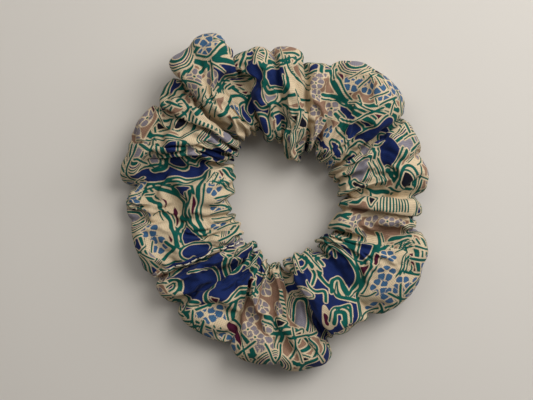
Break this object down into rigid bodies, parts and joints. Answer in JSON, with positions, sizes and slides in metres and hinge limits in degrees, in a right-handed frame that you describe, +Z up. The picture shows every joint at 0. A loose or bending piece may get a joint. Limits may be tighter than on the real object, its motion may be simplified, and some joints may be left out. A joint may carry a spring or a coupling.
{
  "type": "hair scrunchie",
  "caption": "Gathered printed-cotton hair scrunchie: a fabric tube bunched up on a stretchy elastic ring, lying flat.",
  "frame": {"origin": "bottom centre of the box of the ring lying flat, relaxed", "axes": "+Z up out of the hole, +Y along the ring's longer side towards its pointed gather, +X to the side where the ring has its narrowest gathers"},
  "size_m": [0.1092, 0.1226, 0.0229],
  "materials": {
    "printed_cotton": "matte printed plain weave",
    "elastic": "matte braided",
    "thread": "matte"
  },
  "bodies": {
    "gather_01": {"cover_gather_01": "printed_cotton", "elastic_band": "elastic", "tube_seam_thread": "thread", "closing_seam_thread": "thread"},
    "gather_02": {"cover_gather_02": "printed_cotton"},
    "gather_03": {"cover_gather_03": "printed_cotton"},
    "gather_04": {"cover_gather_04": "printed_cotton"},
    "gather_05": {"cover_gather_05": "printed_cotton"},
    "gather_06": {"cover_gather_06": "printed_cotton"},
    "gather_07": {"cover_gather_07": "printed_cotton"},
    "gather_08": {"cover_gather_08": "printed_cotton"},
    "gather_09": {"cover_gather_09": "printed_cotton", "elastic_join_thread": "thread"},
    "gather_10": {"cover_gather_10": "printed_cotton"},
    "gather_11": {"cover_gather_11": "printed_cotton"},
    "gather_12": {"cover_gather_12": "printed_cotton"},
    "gather_13": {"cover_gather_13": "printed_cotton"}
  },
  "joints": [
    {"name": "stretch_01", "type": "slide", "parent": "gather_01", "child": "gather_02", "axis": [-0.3287, 0.9444, 0], "range_m": [0, 0.01885], "stiffness_N_per_m": 1600, "deforming": ["elastic_band", "tube_seam_thread"]},
    {"name": "stretch_02", "type": "slide", "parent": "gather_02", "child": "gather_03", "axis": [0.1356, 0.9908, 0], "range_m": [0, 0.01674]},
    {"name": "stretch_03", "type": "slide", "parent": "gather_03", "child": "gather_04", "axis": [0.6081, 0.7939, 0], "range_m": [0, 0.01759]},
    {"name": "stretch_04", "type": "slide", "parent": "gather_04", "child": "gather_05", "axis": [0.9923, -0.1238, 0], "range_m": [0, 0.01632]},
    {"name": "stretch_05", "type": "slide", "parent": "gather_05", "child": "gather_06", "axis": [0.9755, -0.2202, 0], "range_m": [0, 0.01954]},
    {"name": "stretch_06", "type": "slide", "parent": "gather_06", "child": "gather_07", "axis": [0.5601, -0.8284, 0], "range_m": [0, 0.0192]},
    {"name": "stretch_07", "type": "slide", "parent": "gather_07", "child": "gather_08", "axis": [-0.0224, -0.9997, 0], "range_m": [0, 0.01294]},
    {"name": "stretch_08", "type": "slide", "parent": "gather_08", "child": "gather_09", "axis": [-0.2155, -0.9765, 0], "range_m": [0, 0.01418]},
    {"name": "stretch_09", "type": "slide", "parent": "gather_09", "child": "gather_10", "axis": [-0.8023, -0.5969, 0], "range_m": [0, 0.01567]},
    {"name": "stretch_10", "type": "slide", "parent": "gather_10", "child": "gather_11", "axis": [-0.9109, -0.4127, 0], "range_m": [0, 0.01641]},
    {"name": "stretch_11", "type": "slide", "parent": "gather_11", "child": "gather_12", "axis": [-0.8844, 0.4667, 0], "range_m": [0, 0.0153]},
    {"name": "stretch_12", "type": "slide", "parent": "gather_12", "child": "gather_13", "axis": [-0.6576, 0.7534, 0], "range_m": [0, 0.01276]}
  ],
  "couplings": [
    {"joint": "stretch_02", "follows": "stretch_01", "ratio": 0.88704},
    {"joint": "stretch_03", "follows": "stretch_01", "ratio": 0.93234},
    {"joint": "stretch_04", "follows": "stretch_01", "ratio": 0.86475},
    {"joint": "stretch_05", "follows": "stretch_01", "ratio": 1.0356},
    {"joint": "stretch_06", "follows": "stretch_01", "ratio": 1.0175},
    {"joint": "stretch_07", "follows": "stretch_01", "ratio": 0.6854},
    {"joint": "stretch_08", "follows": "stretch_01", "ratio": 0.7511},
    {"joint": "stretch_09", "follows": "stretch_01", "ratio": 0.83036},
    {"joint": "stretch_10", "follows": "stretch_01", "ratio": 0.8693},
    {"joint": "stretch_11", "follows": "stretch_01", "ratio": 0.81071},
    {"joint": "stretch_12", "follows": "stretch_01", "ratio": 0.67588}
  ]
}
